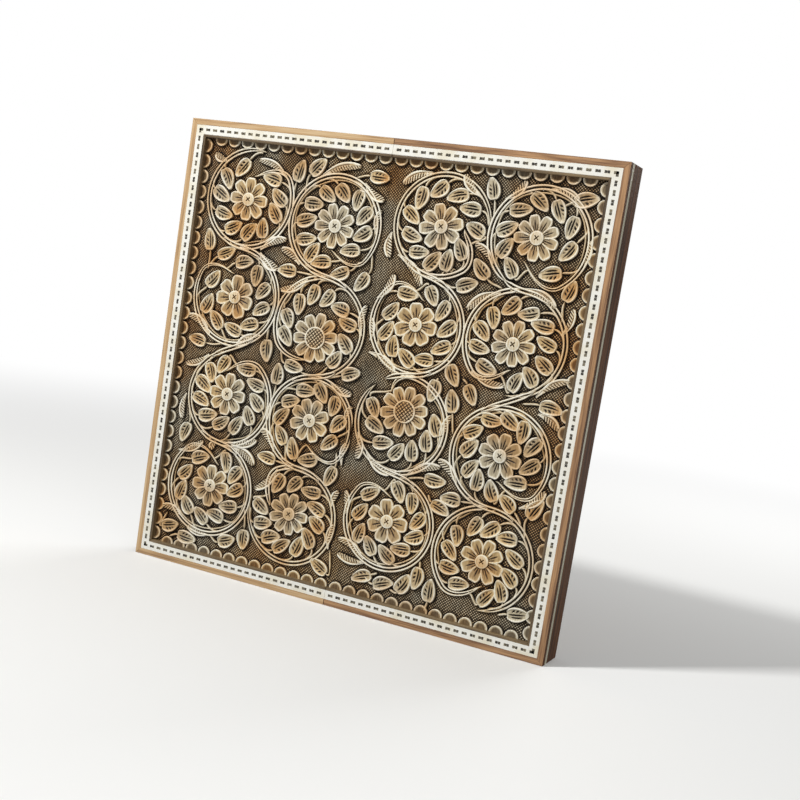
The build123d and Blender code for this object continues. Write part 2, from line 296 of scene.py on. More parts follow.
def finish_mesh(name, verts, faces, material, body, wear_and_painted_light=None, smooth=True):
    """Makes a piece from whole arrays of corners and faces, and sets its body."""
    mesh = bpy.data.meshes.new(name)
    mesh.vertices.add(len(verts))
    mesh.vertices.foreach_set("co", verts.astype(np.float32).ravel())
    sides = faces.shape[1]
    mesh.loops.add(faces.size)
    mesh.loops.foreach_set("vertex_index", faces.astype(np.int32).ravel())
    mesh.polygons.add(len(faces))
    mesh.polygons.foreach_set("loop_start", np.arange(0, faces.size, sides, dtype=np.int32))
    mesh.polygons.foreach_set("loop_total", np.full(len(faces), sides, np.int32))
    mesh.polygons.foreach_set("use_smooth", np.full(len(faces), smooth))
    # The colour level, wear with painted shade and painted highlight, goes on as a point
    # attribute.
    if wear_and_painted_light is not None:
        mesh.attributes.new("wear_and_painted_light", "FLOAT", "POINT").data.foreach_set(
            "value", wear_and_painted_light.astype(np.float32).ravel())
    mesh.update()
    mesh.validate()
    obj = bpy.data.objects.new(name, mesh)
    bpy.context.scene.collection.objects.link(obj)
    mesh.materials.append(material)
    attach(obj, body)
    return obj


tile_veneer = clouded("stained_veneer_tile", 6 * MM, 1.0, (0.42, 0.66), TILE_SHADES, 0.4)
for half, side in HALVES.items():
    verts, faces = boxes(*tile_pairs(side, *islands(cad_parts[half + "_strip_tiles"])))
    tiles = finish_mesh(half + "_tile_pairs", verts, faces, tile_veneer, half + "_half",
                        smooth=False)
    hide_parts(half + "_strip_tiles")


# Lip
# A thin dark fillet of stained wood, glued between the strip and the carving, with its inner
# arris eased.
LIP = ("#3A2C1D", "#6A573D", "#8A7452")
LIP_ARRIS = 0.5 * MM
lip_across = sawn_wood("stained_fillet_across", 0, LIP)
lip_upright = sawn_wood("stained_fillet_upright", 2, LIP)
dress_runs("lip", lip_across, lip_upright, LIP_ARRIS)


# Edge stringing
# A pale line of holly let into the outer edges, along the top, the bottom and the free side,
# and planed level with the walnut.
STRINGING = ("#9A9474", "#C6C0A2", "#D6D0B4")
string_across = sawn_wood("holly_stringing_across", 0, STRINGING)
string_upright = sawn_wood("holly_stringing_upright", 2, STRINGING)
dress_runs("stringing", string_across, string_upright)


# Carved boards
# One walnut board a half, carved by hand to a depth of 4 mm: flowers in scrolls of stem and
# leaf on a cross-cut ground, with a row of scallops along the lip. The next sections work out
# the carved forms kind by kind, and "Boards put together" makes the pieces.
LIP_LOW, LIP_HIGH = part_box("left_top_lip")
GROUND = LIP_HIGH.y
TOP = LIP_LOW.z
EDGE = -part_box("left_side_lip")[1].x
SEAM_FACE = -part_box("left_carved_board")[1].x
HALF_WIDTH = (cad_box[1][0] - cad_box[0][0]) / 2
DEEP = 1.2 * MM          # how far a carved shape's sides reach below the ground
rng = np.random.default_rng(7)

# The places listed in these sections were read from the photograph, in millimetres from
# the board's left edge and from its top edge, and directions as clock angles in degrees, 0 up
# and 90 to the right. In the shapes, s runs along a form from its root to its tip, and t
# across it from edge to edge.


def on_board(u, v):
    """X and Z of places in millimetres from the board's left edge and from its top edge."""
    return np.asarray(u, float) * MM - HALF_WIDTH, HEIGHT - np.asarray(v, float) * MM


def clock(angle):
    """Unit vectors, X and Z, of clock angles in degrees, 0 up and 90 to the right."""
    return np.sin(np.radians(angle)), np.cos(np.radians(angle))


def patches(x, z, wall, lift, wear_and_painted_light):
    """Corners, faces and colour level of patches, the level being wear with painted shade and
    painted highlight in it. Places, height and level are arrays (patch, along, across), and so is
    wall, true where a shape's steep side ends below the ground, painted darkest as stain and
    shade."""
    x, y, z, wear_and_painted_light = np.broadcast_arrays(x, GROUND - np.where(wall, -DEEP, lift), z,
                                        np.where(wall, 0.0, wear_and_painted_light))
    index = np.arange(x.size).reshape(x.shape)
    faces = np.stack([index[:, :-1, :-1], index[:, 1:, :-1], index[:, 1:, 1:],
                      index[:, :-1, 1:]], -1).reshape(-1, 4)
    return np.stack([x, y, z], -1).reshape(-1, 3), faces, wear_and_painted_light.ravel()


def joined(side, parts):
    """Several sets of corners, faces and colour levels (wear with painted shade and highlight) as
    one, held inside the lip and on their own side of the seam."""
    verts, faces, wear_and_painted_light = zip(*parts)
    starts = np.cumsum([0] + [len(some) for some in verts])
    faces = np.concatenate([some + start for some, start in zip(faces, starts)])
    verts = np.concatenate(verts)
    verts[:, 0] = side * np.clip(side * verts[:, 0], SEAM_FACE, EDGE)
    verts[:, 2] = np.clip(verts[:, 2], HEIGHT - TOP, TOP)
    return verts, faces, np.concatenate(wear_and_painted_light)


def placed(px, pz, angle, along, across):
    """Carries (along, across) to places and clock angles; across runs to the left of along."""
    ax, az, px, pz = [np.reshape(a, (-1, 1, 1)) for a in (*clock(angle), px, pz)]
    return px + along * ax - across * az, pz + along * az + across * ax


def cut(distance, width):
    """Profile of a knife cut: 1 on its line, falling straight to 0 at its edges."""
    return np.clip(1 - np.abs(distance) / width, 0, 1)


def with_walls(count):
    """Evenly spaced places from -1 to 1, with the last step at each end kept for a steep side."""
    return np.concatenate([[-1.0], np.linspace(-0.975, 0.975, count - 2), [1.0]])


# Stems
# Each scroll is one stem, carved as two ridges with a V between: it leaves its neighbour, winds
# round its ring, and curls in to its flower's petals. Where two rings touch, a taller S-curve
# carries the main stem across.
RING_W = 5.8 * MM
STEM_H = 2.9 * MM
LINK_RISE = 1.22         # the S-curves' height as a share of the scrolls'
PETAL_REACH = 24.5 * MM
CURL_PAST = 20           # degrees that a scroll's stem runs on past its flower's edge
CURL_FALL = 55           # degrees over which it comes in from the ring
JOINT_OVERLAP = 6        # degrees that its stem and the arc closing its ring run over each other
ARC_SHORT = 14           # degrees that this arc stops short of a whole turn
Scroll = namedtuple("Scroll", "u v radius flower_u flower_v petals first_petal turn end start")
# Scrolls: middle, radius, middle of the flower, petals, clock angle of the first petal, turn
# (1 clockwise), where the stem's end meets the flower, and where it leaves its neighbour
SCROLLS = {
    "left": [
        Scroll(85, 80, 53, 83, 81, 8, 2, -1, 28, 195),
        Scroll(193, 97, 53, 194, 97, 9, 24, 1, 163, 190),
        Scroll(84, 188, 53, 83, 189, 7, 3, 1, 330, 351),
        Scroll(192, 206, 53, 190, 218, 10, 9, -1, 212, 350),
        Scroll(94, 301, 52, 91, 297, 8, 3, -1, 5, 196),
        Scroll(198, 311, 51, 198, 307, 8, 25, 1, 164, 205),
        Scroll(84, 405, 53, 85, 403, 8, 0, 1, 357, 354),
        Scroll(192, 414, 53, 190, 413, 9, 12, -1, 298, 347),
    ],
    "right": [
        Scroll(316, 82, 52, 315, 83, 8, 32, -1, 110, 182),
        Scroll(421, 84, 52, 418, 82, 9, 25, 1, 183, 215),
        Scroll(305, 187, 51, 304, 186, 7, 352, 1, 353, 7),
        Scroll(413, 188, 53, 412, 189, 9, 13, -1, 195, 351),
        Scroll(305, 291, 51, 307, 277, 10, 8, -1, 330, 176),
        Scroll(418, 305, 52, 418, 302, 8, 12, 1, 160, 195),
        Scroll(308, 396, 50, 307, 395, 7, 348, 1, 343, 10),
        Scroll(417, 410, 53, 418, 412, 8, 18, -1, 190, 352),
    ],
}
# Scrolls that touch, upper and lower, by their places in the lists above, and the way the main
# stem crosses over: 1 from the upper one's left to the lower one's right
TOUCHING = [(0, 2, 1), (1, 3, 1), (2, 4, -1), (3, 5, -1), (4, 6, 1), (5, 7, 1)]


def scroll_turn(scroll):
    """Degrees that a scroll's stem turns through, from its neighbour to its flower: under 30
    counts as a whole turn more, and 335 is the most."""
    full = (scroll.turn * (scroll.end - scroll.start)) % 360
    return min(full if full > 30 else full + 360, 335)


def along_scroll(scroll, travel, inset=0.0):
    """Places on a scroll's stem at degrees of travel from its start: it keeps its radius, then
    comes in to the tips of the petals as a smooth step. Inset shrinks the radius."""
    full = scroll_turn(scroll)
    fall = np.clip(1 - (full + CURL_PAST - travel) / CURL_FALL, 0, 1)
    fall = fall * fall * (3 - 2 * fall)
    r = (scroll.radius * MM - inset) * (1 - fall) + (PETAL_REACH + 1.5 * MM) * fall
    across, up = clock(scroll.end + scroll.turn * (travel - full))
    middle_x, middle_z = on_board(scroll.u + (scroll.flower_u - scroll.u) * fall,
                                  scroll.v + (scroll.flower_v - scroll.v) * fall)
    return middle_x + r * across, middle_z + r * up


def tapered(steps, start, end, width):
    """Width along a stem that swells over its start and thins over its end, as shares of it."""
    s = np.linspace(0, 1, steps)
    swell = np.clip(s / start, 0, 1) ** 0.6 * np.clip((1 - s) / end, 0, 1) ** 0.6
    return 0.3 * MM + width * swell


def scroll_paths(scroll):
    """A scroll's stems as (x, z, width): the spiral from its neighbour to its flower, the arc
    that closes the ring, and a thin ridge along the ring's inside."""
    steps = 97
    full = scroll_turn(scroll)
    paths = [(*along_scroll(scroll, np.linspace(-JOINT_OVERLAP, full + CURL_PAST, steps)),
              tapered(steps, 0.05, 0.3, RING_W))]
    rest = 360 - full - ARC_SHORT
    if rest > 20:
        paths.append((*along_scroll(scroll, np.linspace(JOINT_OVERLAP, -rest, steps)),
                      tapered(steps, 0.05, 0.2, RING_W)))
    inset = 4.0 * MM + 1.6 * MM * np.sin(np.linspace(0, 3 * np.pi, steps)) ** 2
    paths.append((*along_scroll(scroll, np.linspace(12, max(full - 50, 30), steps), inset),
                  tapered(steps, 0.1, 0.2, 1.7 * MM)))
    return paths


def bezier(points, steps):
    """A cubic curve through four control points, (x, z) each."""
    t = np.linspace(0, 1, steps)[:, None]
    a, b, c, d = [np.asarray(p)[None] for p in points]
    curve = (1 - t) ** 3 * a + 3 * t * (1 - t) ** 2 * b + 3 * t ** 2 * (1 - t) * c + t ** 3 * d
    return curve[:, 0], curve[:, 1]


def link_path(upper, lower, way):
    """The main stem's S-curve where one ring touches the next, leaving each ring 30 degrees
    from the touch and running along it there."""
    middles = [np.array(on_board(s.u, s.v)) for s in (upper, lower)]
    line = np.degrees(np.arctan2(*(middles[1] - middles[0])))
    leave, join = line + way * 30, line + 180 + way * 30
    start = middles[0] + upper.radius * MM * np.array(clock(leave))
    end = middles[1] + lower.radius * MM * np.array(clock(join))
    reach = 0.42 * np.hypot(*(end - start))
    return bezier([start, start + reach * np.array(clock(leave - way * 90)),
                   end - reach * np.array(clock(join + way * 90)), end], 41)


def sweep(px, pz, width, height, pair):
    """Carved stems along paths, arrays (stem, step). Where pair is 1, the stem is two ridges
    with a V between them; where it is 0, one rounded ridge."""
    dx, dz = np.gradient(px, axis=1), np.gradient(pz, axis=1)
    norm = np.hypot(dx, dz) + 1e-12
    t = with_walls(15)[None, None, :]
    across = t * (width / 2)[:, :, None]
    x = px[:, :, None] - across * (dz / norm)[:, :, None]
    z = pz[:, :, None] + across * (dx / norm)[:, :, None]
    edge = np.abs(t)
    single = 1 - 0.4 * edge ** 2
    double = 1 - 0.8 * np.clip(1 - edge / 0.4, 0, 1) - 0.5 * np.clip(edge - 0.72, 0, 1)
    pair = pair[:, :, None]
    lift = (pair * double + (1 - pair) * single) * height[:, :, None]
    # Colour level: ridge crests painted bright as rubbing and painted highlight, the V and the
    # sides dark as stain and painted shade, and lower stems painted darker as shade.
    ridge = pair * np.clip(1.7 - 3.6 * np.abs(edge - 0.62), 0, 1)
    ridge = ridge + (1 - pair) * np.clip(1.15 - 0.6 * edge, 0, 1)
    bright = np.clip(height / STEM_H, 0.5, 1)[:, :, None]
    return patches(x, z, edge > 0.99, lift, 0.04 + 0.98 * ridge * bright)


def scroll_stems(scroll):
    """One scroll carved: two ridges where a stem is wide enough, one where it is thin, and
    each further stem of the scroll a little lower than the one before."""
    stems = []
    for rise, (x, z, width) in zip((1, 0.9, 0.8), scroll_paths(scroll)):
        pair = np.clip((width - 2.6 * MM) / (1.4 * MM), 0, 1)
        height = rise * STEM_H * (0.7 + 0.3 * np.clip(width / (3 * MM), 0, 1))
        stems.append(sweep(x[None], z[None], width[None], height[None], pair[None]))
    return stems


def curve_stems(curves, width, rise, pair):
    """Curves of one width carved as stems, with both their ends tapered."""
    px, pz = np.array([c[0] for c in curves]), np.array([c[1] for c in curves])
    widths = np.tile(tapered(px.shape[1], 0.15, 0.15, width), (len(px), 1))
    return sweep(px, pz, widths, np.full_like(px, rise * STEM_H), np.full_like(px, pair))


# Leaves
# Broad pointed leaves with raised rims, most of them inside the scrolls, and each on a thin
# stalk that branches off the stem. They stand clear of each other, the stems and the petals.
LEAF_L = 25 * MM
LEAF_W = 16 * MM
LEAF_H = 3.2 * MM
LEAF_FOOT = 0.42 * LEAF_L
LEAF_DISC = 6.5 * MM     # radius of the two discs that a leaf counts as when it is moved clear
LEAF_DISCS_AT = (-4.5 * MM, 4 * MM)
SETTLE_ROUNDS = 60
STALK_W = 2.3 * MM
STALK_RISE = 0.85        # the stalks' height as a share of the scrolls'
STALK_LEAD = 20          # degrees before the leaf's foot at which its stalk leaves the stem
STALK_PULL = 0.4         # how far a stalk's curve is drawn along the stem and the leaf
# Leaves inside the scrolls: middle and clock angle of the tip
LEAVES = {
    "left": [
        (71, 47, 218), (53, 60, 150), (47, 79, 121), (53, 100, 105), (68, 114, 65),
        (88, 116, 38), (106, 111, 355), (119, 93, 324), (122, 76, 310), (111, 56, 283),
        (179, 65, 125), (198, 61, 136), (217, 66, 193), (227, 82, 220), (229, 102, 235),
        (217, 120, 262), (184, 136, 262), (170, 130, 30), (161, 115, 80), (158, 95, 72),
        (164, 77, 90), (88, 149, 75), (107, 161, 185), (118, 177, 220),
        (119, 197, 240), (107, 216, 253), (87, 225, 290), (64, 218, 320), (49, 202, 25),
        (52, 174, 40), (181, 172, 195), (199, 174, 215), (216, 183, 282), (227, 198, 285),
        (227, 219, 320), (217, 238, 40), (165, 184, 178), (153, 201, 150), (152, 221, 142),
        (80, 261, 210), (62, 271, 160), (57, 290, 125), (57, 308, 110),
        (68, 325, 78), (87, 331, 58), (107, 330, 30), (122, 317, 335), (130, 300, 315),
        (126, 281, 285), (112, 266, 268), (187, 276, 86), (207, 274, 145), (226, 285, 186),
        (233, 304, 222), (226, 326, 228), (171, 291, 72), (162, 309, 38), (167, 330, 328),
        (182, 342, 342), (204, 350, 255), (66, 374, 70), (102, 372, 165), (115, 384, 215),
        (119, 402, 235), (113, 422, 260), (98, 435, 285), (79, 440, 312), (58, 432, 325),
        (48, 417, 18), (50, 395, 45), (172, 382, 205), (192, 379, 222), (214, 384, 270),
        (223, 400, 292), (226, 417, 308), (218, 435, 330), (206, 447, 20), (185, 450, 52),
        (170, 443, 70), (158, 430, 80), (152, 412, 125),
    ],
    "right": [
        (308, 46, 225), (289, 56, 190), (280, 75, 130), (283, 96, 110), (294, 112, 85),
        (311, 120, 40), (327, 117, 8), (339, 103, 335), (354, 82, 298), (345, 62, 272),
        (329, 50, 255), (396, 57, 80), (415, 46, 128), (436, 53, 155), (452, 67, 192),
        (453, 91, 215), (439, 115, 257), (397, 115, 330), (386, 96, 30), (385, 77, 62),
        (289, 156, 95), (317, 153, 150), (332, 167, 205), (340, 185, 228), (337, 205, 242),
        (320, 220, 268), (300, 222, 312), (282, 213, 355), (272, 198, 35), (274, 177, 42),
        (405, 152, 222), (387, 165, 165), (377, 180, 135), (376, 198, 105), (387, 217, 112),
        (425, 158, 255), (440, 166, 275), (447, 184, 292), (448, 205, 308), (437, 220, 325),
        (421, 231, 22), (271, 278, 150), (275, 297, 118), (287, 314, 80), (305, 321, 38),
        (322, 317, 352), (336, 304, 350), (344, 286, 338), (402, 268, 95), (422, 265, 125),
        (439, 272, 182), (451, 286, 218), (452, 307, 232), (440, 325, 267), (415, 340, 335),
        (399, 332, 5), (388, 321, 35), (384, 301, 40), (384, 283, 62), (282, 370, 60),
        (315, 358, 150), (332, 369, 172), (342, 387, 215), (341, 405, 245), (328, 421, 265),
        (312, 431, 308), (292, 426, 328), (277, 415, 15), (274, 392, 38), (405, 378, 207),
        (387, 391, 165), (381, 408, 138), (383, 427, 98), (396, 441, 80), (422, 378, 230),
        (441, 383, 268), (452, 402, 305), (450, 422, 315), (444, 439, 342), (428, 448, 38),
    ],
}
# Leaves between the scrolls: middle, clock angle of the tip, and the root of the stalk
FREE_LEAVES = {
    "left": [
        (142, 45, 12, 139, 85), (163, 38, 42, 152, 66), (237, 41, 92, 211, 44),
        (41, 131, 352, 43, 163), (64, 143, 65, 44, 158), (236, 151, 212, 243, 122),
        (209, 146, 247, 230, 130), (168, 253, 100, 150, 238),
        (145, 151, 270, 176, 152), (43, 243, 280, 82, 241), (132, 240, 175, 131, 215),
        (42, 348, 200, 44, 322), (151, 265, 3, 148, 300), (153, 357, 278, 185, 360),
        (233, 361, 200, 236, 335), (137, 453, 178, 134, 420), (238, 249, 70, 205, 260),
        (115, 461, 70, 93, 459), (38, 460, 75, 33, 445), (62, 469, 95, 40, 472),
        (236, 462, 300, 246, 440),
    ],
    "right": [
        (365, 40, 345, 370, 68), (461, 40, 75, 441, 48), (366, 121, 315, 391, 136),
        (352, 138, 70, 325, 139), (461, 130, 20, 458, 160), (353, 230, 155, 345, 215),
        (336, 249, 188, 338, 236), (358, 258, 350, 364, 290), (376, 246, 150, 365, 232),
        (461, 245, 95, 432, 246), (352, 342, 92, 322, 345), (374, 357, 270, 402, 355),
        (363, 367, 110, 348, 357), (435, 348, 312, 452, 366), (463, 348, 30, 458, 380),
        (350, 446, 185, 351, 428), (366, 457, 0, 364, 478), (337, 457, 30, 322, 466),
        (312, 461, 70, 291, 459), (288, 459, 250, 305, 452), (464, 457, 80, 444, 462),
    ],
}


def leaf_patches(px, pz, angle):
    """Broad pointed leaves: half width is s to 0.5 times (1 - s) to 0.8, scaled; the height
    is a dish with a raised rim, less two long cuts and a comb of nicks on one side."""
    count = len(px)
    length = LEAF_L * rng.uniform(0.95, 1.06, count)
    width = LEAF_W * rng.uniform(0.93, 1.05, count)
    bend = rng.uniform(-7, 7, count) * MM
    nicks = rng.choice([-1, 1], count)
    length, width, bend, nicks = [a[:, None, None] for a in (length, width, bend, nicks)]
    s = np.linspace(0.0, 1.0, 25)[None, :, None]
    t = with_walls(31)[None, None, :]
    profile = s ** 0.5 * (1 - s) ** 0.8 / ((5 / 13) ** 0.5 * (8 / 13) ** 0.8)
    along = (s - 0.45) * length
    across = t * profile * width / 2 + bend * (s - 0.45) ** 2
    x, z = placed(px, pz, angle, along, across)
    edge = np.abs(t)
    inner = np.clip(np.minimum(s / 0.12, (1 - s) / 0.2), 0, 1)
    rim = np.maximum(np.exp(-((edge - 0.86) / 0.15) ** 2), 1 - inner)
    lift = LEAF_H * (0.7 + 0.3 * rim)
    ends = np.clip(np.minimum((s - 0.1) / 0.12, (0.84 - s) / 0.3), 0, 1)
    short = np.clip(np.minimum((s - 0.2) / 0.1, (0.7 - s) / 0.2), 0, 1)
    toward = t * nicks
    cuts = np.maximum(cut(toward + 0.04, 0.12) * ends, cut(toward + 0.34 + 0.14 * s, 0.11) * short)
    comb = np.clip(2 * np.sin(2 * np.pi * (s * 6 - toward * 1.3)), 0, 1)
    comb = comb * cut(toward - 0.45, 0.22) * short
    cuts = np.clip(1.6 * np.maximum(cuts, comb), 0, 1)
    wall = (edge > 0.99) | (s < 0.001) | (s > 0.999)
    # Colour level: the rim painted bright as rubbing and painted highlight, the cuts and nicks
    # painted nearly black as stain and painted shade.
    return patches(x, z, wall, lift - 1.6 * MM * cuts, 0.7 + 0.3 * rim - 0.84 * cuts)


def nearest_scroll(scrolls, x, z):
    """Which scroll each place belongs to, and the middles of those scrolls."""
    middles = np.array([on_board(s.u, s.v) for s in scrolls])
    near = np.hypot(x[:, None] - middles[:, 0], z[:, None] - middles[:, 1]).argmin(axis=1)
    return near, middles[near]


def settled(scrolls, x, z, heading, held):
    """Leaves moved clear of each other, and the held ones clear of their ring and flower. Each
    counts as two discs on its midrib; each round undoes a quarter of the leaves' overlaps and
    half of what reaches over a ring or a flower."""
    count = len(x)
    near, middles = nearest_scroll(scrolls, x, z)
    ring = np.array([s.radius for s in scrolls])[near] * MM - LEAF_DISC - 3.5 * MM
    flower = np.array([on_board(s.flower_u, s.flower_v) for s in scrolls])[near]
    place = np.stack([x, z], -1)
    heads = np.stack(clock(heading), -1)
    leaf = np.tile(np.arange(count), 2)
    for step in range(SETTLE_ROUNDS):
        discs = np.concatenate([place + at * heads for at in LEAF_DISCS_AT])
        apart = discs[:, None] - discs[None]
        gap = np.hypot(apart[..., 0], apart[..., 1]) + 1e-9
        push = np.clip(2 * LEAF_DISC - gap, 0, None) * (leaf[:, None] != leaf)
        move = (apart / gap[..., None] * push[..., None]).sum(axis=1) * 0.25
        away = discs - np.tile(middles, (2, 1))
        r = np.hypot(*away.T)
        back = np.clip(r - np.tile(ring, 2), 0, None) * np.tile(held, 2)
        move -= away / r[:, None] * back[:, None] * 0.5
        away = discs - np.tile(flower, (2, 1))
        r = np.hypot(*away.T)
        out = np.clip(PETAL_REACH + 0.8 * LEAF_DISC - r, 0, None)
        move += away / r[:, None] * out[:, None] * 0.5
        place = place + move.reshape(2, count, 2).sum(axis=0)
    return place.T


def leaf_feet(x, z, heading):
    """Unit vectors along leaves, towards their tips, and the places of their feet."""
    heads = np.stack(clock(heading), -1)
    return heads, np.stack([x, z], -1) - LEAF_FOOT * heads


def leaf_stalks(scrolls, x, z, heading):
    """Stalks from the nearest scroll's stem to the foot of each leaf: they leave the stem along
    it, a little before the leaf's foot, and reach the foot along the leaf."""
    near, middles = nearest_scroll(scrolls, x, z)
    heads, feet = leaf_feet(x, z, heading)
    curves = []
    for k, middle, head, foot in zip(near, middles, heads, feet):
        scroll = scrolls[k]
        full = scroll_turn(scroll)
        angle = np.degrees(np.arctan2(*(foot - middle))) - scroll.turn * STALK_LEAD
        travel = (scroll.turn * (angle - scroll.end) + full) % 360
        if travel > full + CURL_PAST - 5:
            travel -= 360
        root = np.array(along_scroll(scroll, travel, 2 * MM))
        out = np.array(clock(angle + scroll.turn * 90))
        reach = STALK_PULL * np.hypot(*(foot - root))
        curves.append(bezier([root, root + reach * out, foot - reach * head, foot], 21))
    return curves


def free_stalks(roots, x, z, heading):
    """Stalks of the leaves between the scrolls: nearly straight from their roots, and along the
    leaf at its foot."""
    heads, feet = leaf_feet(x, z, heading)
    curves = []
    for root, head, foot in zip(roots, heads, feet):
        reach = STALK_PULL * np.hypot(*(foot - root))
        curves.append(bezier([root, root + 0.5 * (foot - root) - reach * 0.1 * head,
                              foot - reach * head, foot], 21))
    return curves


# Flowers
# One in each scroll: dished petals with raised bright tips round a domed eye, each cut with a
# vein and two short side cuts. The ten-petalled ones are larger, with a lattice over the eye.
BIG_PETALS = 10
BIG_MORE = 3.5 * MM      # how much further the large flowers' petals reach
EYE_R = 7.4 * MM
BIG_EYE_R = 12.5 * MM


def petal_patches(fx, fz, count, first, root, reach):
    """Petals: half width grows as a sine to 0.64 of the length, then closes as a half oval.
    Their tips are raised and painted bright as rubbing and painted highlight; a vein and two short
    cuts run out from the eye, painted dark as stain and painted shade, and the petals are painted
    darker close to the eye as stain and painted shade."""
    angle = first + 360 / count * np.arange(count) + rng.uniform(-2, 2, count)
    length = (reach * (1 + rng.uniform(-0.04, 0.03, count)))[:, None, None]
    s = np.linspace(0, 1, 23)[None, :, None]
    t = with_walls(27)[None, None, :]
    widest = root + 0.64 * (reach - root)
    full = 0.9 * widest * np.tan(np.pi / count)
    grow = 0.42 + 0.58 * np.sin(np.pi / 2 * np.clip(s / 0.64, 0, 1)) ** 1.2
    close = np.clip(1 - ((s - 0.64) / 0.36) ** 2.2, 0, 1) ** 0.5
    half = np.where(s < 0.64, grow, close) * full
    along = 0.55 * root + s * (length - 0.55 * root)
    x, z = placed(fx, fz, angle, along, t * half)
    edge = np.abs(t)
    rim = np.maximum(np.exp(-((edge - 0.84) / 0.14) ** 2), np.exp(-((s - 0.93) / 0.07) ** 2))
    lift = 1.9 * MM + 0.7 * MM * s + 0.55 * MM * rim
    vein = cut(t, 0.11) * np.clip((0.74 - s) / 0.2, 0, 1)
    side_veins = np.maximum(cut(t - 0.4 - 0.1 * s, 0.09), cut(t + 0.4 + 0.1 * s, 0.09))
    cuts = np.maximum(vein, side_veins * np.clip((0.5 - s) / 0.16, 0, 1))
    wall = (edge > 0.985) | (s > 0.999)
    wear_and_painted_light = 0.56 + 0.12 * s + 0.34 * rim - 0.78 * cuts - 0.4 * np.clip(1 - s / 0.22, 0, 1)
    return patches(x, z, wall, lift - 1.1 * MM * cuts, wear_and_painted_light)


def eye_patch(fx, fz, radius, crossed):
    """Domed middle of a flower on a polar grid: two crossed nicks, or a lattice of cuts."""
    r = np.concatenate([np.linspace(0, 0.97, 30), [1.0]])[None, :, None] * radius
    a = -np.linspace(0, 2 * np.pi, 65)[None, None, :]
    x, z = r * np.cos(a), r * np.sin(a)
    dome = np.sqrt(np.clip(1 - 0.75 * (r / radius) ** 2, 0, 1))
    u, v = (x + z) / np.sqrt(2), (x - z) / np.sqrt(2)
    if crossed:
        pitch = 3.1 * MM
        near = [np.abs((w / pitch + 0.5) % 1 - 0.5) * pitch for w in (u, v)]
        cuts = np.maximum(cut(near[0], 0.8 * MM), cut(near[1], 0.8 * MM)) * (r < 0.84 * radius)
    else:
        cuts = np.maximum(cut(u, 0.8 * MM), cut(v, 0.8 * MM)) * (r < 3.2 * MM)
    lift = 2.7 * MM + 1.1 * MM * dome - 1.0 * MM * cuts
    # Colour level: the outer band of the dome painted brighter, the cuts painted dark as stain and
    # painted shade.
    return patches(x + fx, z + fz, r > 0.985 * radius, lift,
                   0.84 + 0.12 * (r > 0.8 * radius) - 0.8 * cuts)


def flower_parts(scroll):
    """Petals and eye of a scroll's flower."""
    big = scroll.petals == BIG_PETALS
    eye = BIG_EYE_R if big else EYE_R
    reach = PETAL_REACH + (BIG_MORE if big else 0)
    fx, fz = on_board(scroll.flower_u, scroll.flower_v)
    return [petal_patches(fx, fz, scroll.petals, scroll.first_petal, eye, reach),
            eye_patch(fx, fz, eye, big)]


# Sprays
# Acanthus blades that spring from the stems at their joints, bowed, with oblique comb cuts
# along one side. Each is its root, its tip, its width, and the side of the cuts (1 left).
SPRAYS = {
    "left": [
        (127, 52, 90, 37, 8, 1), (168, 48, 215, 32, 9, -1), (222, 49, 247, 65, 9, 1),
        (107, 137, 132, 152, 11, 1), (107, 133, 138, 118, 9, -1), (158, 143, 133, 128, 9, 1),
        (171, 157, 139, 173, 9, -1), (57, 234, 26, 216, 9, 1), (122, 225, 94, 244, 10, 1),
        (244, 207, 245, 174, 7, -1), (49, 42, 33, 36, 9, -1), (60, 257, 31, 272, 8, -1),
        (37, 305, 36, 335, 7, 1), (100, 350, 137, 341, 9, 1), (107, 354, 138, 369, 10, -1),
        (160, 349, 140, 326, 9, 1), (168, 367, 143, 395, 9, -1), (37, 371, 68, 355, 8, 1),
        (216, 261, 244, 271, 9, 1), (244, 347, 246, 322, 6, -1), (240, 393, 245, 375, 7, -1),
        (55, 446, 25, 438, 8, 1), (84, 352, 79, 362, 8, 1), (243, 100, 245, 74, 6, -1),
        (240, 300, 246, 283, 6, -1), (243, 440, 246, 412, 7, -1), (93, 459, 62, 455, 7, -1),
    ],
    "right": [
        (297, 30, 265, 45, 9, 1), (352, 48, 332, 28, 9, -1), (379, 48, 399, 28, 8, 1),
        (377, 113, 355, 95, 8, 1), (272, 117, 304, 146, 9, -1), (390, 140, 357, 162, 9, 1),
        (413, 133, 450, 147, 9, -1), (460, 173, 468, 145, 7, 1), (261, 95, 262, 122, 9, 1),
        (256, 165, 272, 138, 9, 1), (373, 223, 411, 232, 8, 1), (445, 237, 477, 215, 8, -1),
        (425, 33, 455, 41, 7, -1), (256, 222, 290, 240, 9, -1), (353, 305, 359, 271, 7, -1),
        (320, 343, 357, 326, 9, -1), (377, 340, 353, 318, 9, 1), (258, 308, 261, 337, 9, -1),
        (271, 327, 302, 346, 9, 1), (450, 253, 474, 265, 9, -1), (447, 350, 472, 328, 9, 1),
        (287, 441, 253, 425, 8, 1), (290, 444, 255, 442, 8, -1), (470, 105, 472, 78, 5, 1),
        (255, 210, 253, 186, 6, 1), (256, 400, 254, 372, 6, 1),
    ],
}


